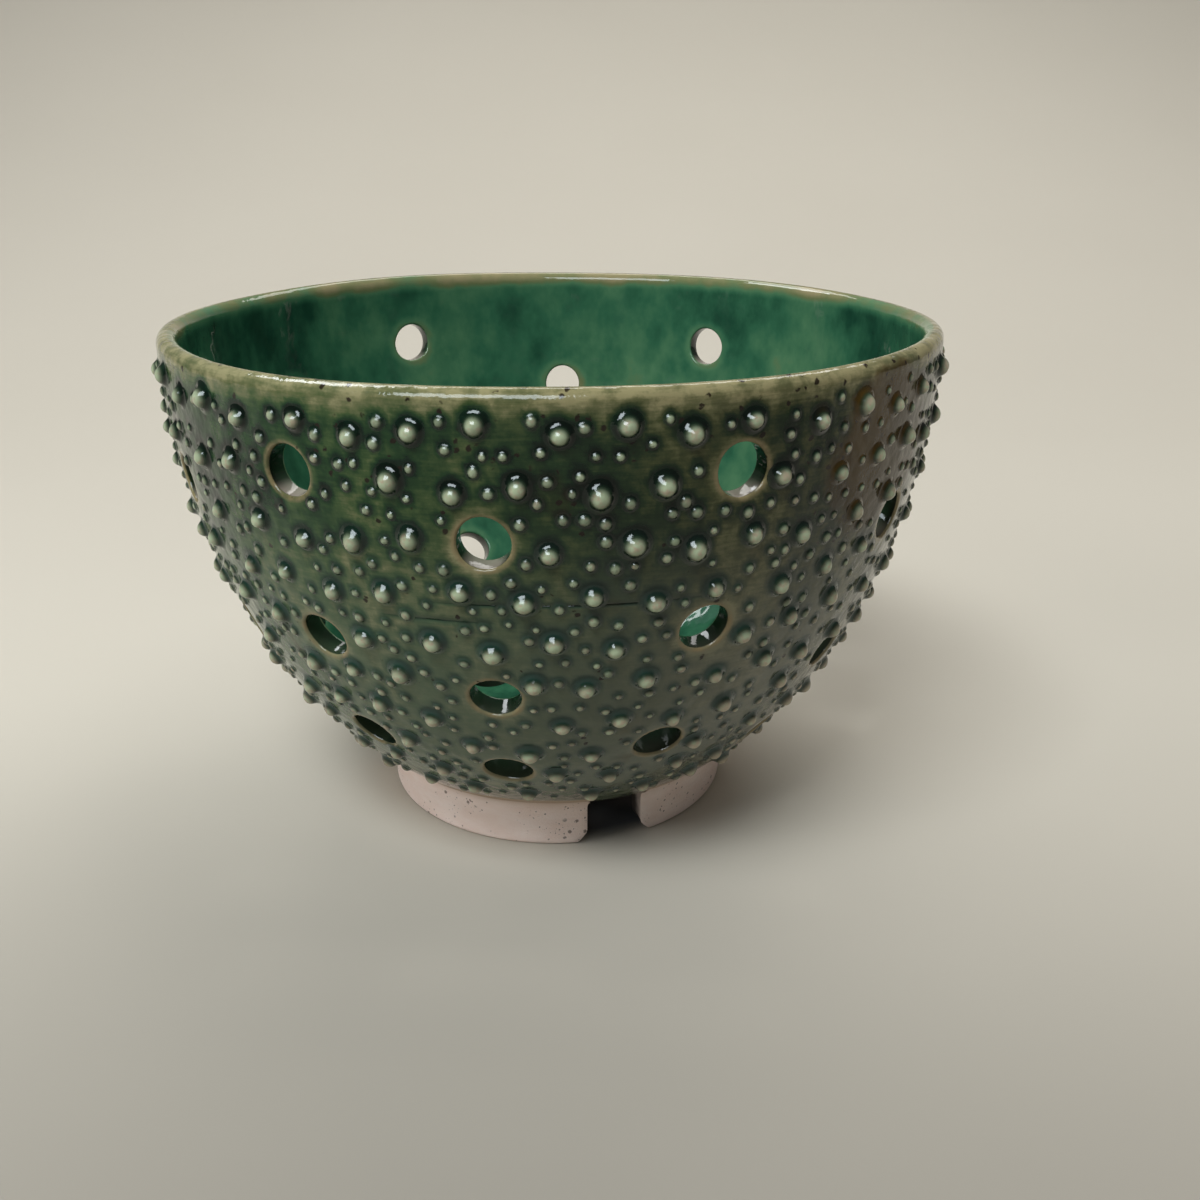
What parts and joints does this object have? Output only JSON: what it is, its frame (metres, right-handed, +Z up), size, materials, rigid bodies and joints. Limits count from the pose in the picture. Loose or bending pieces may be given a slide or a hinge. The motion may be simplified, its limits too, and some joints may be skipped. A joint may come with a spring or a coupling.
{
  "type": "berry bowl",
  "caption": "Round stoneware colander bowl for rinsing and serving berries, with a bead-studded, pierced wall and a notched foot ring.",
  "frame": {"origin": "on the table, under the middle of the foot ring", "axes": "+Z up along the bowl's axis, -Y towards the viewer of the picture, +X to their right"},
  "size_m": [0.1538, 0.1539, 0.1],
  "materials": {
    "glaze": "glossy translucent green glaze over speckled stoneware",
    "bare_clay": "matte unglazed stoneware"
  },
  "bodies": {
    "root": {"bowl_wall": "glaze", "foot_arc_1": "bare_clay", "foot_arc_2": "bare_clay", "foot_arc_3": "bare_clay"}
  },
  "joints": []
}
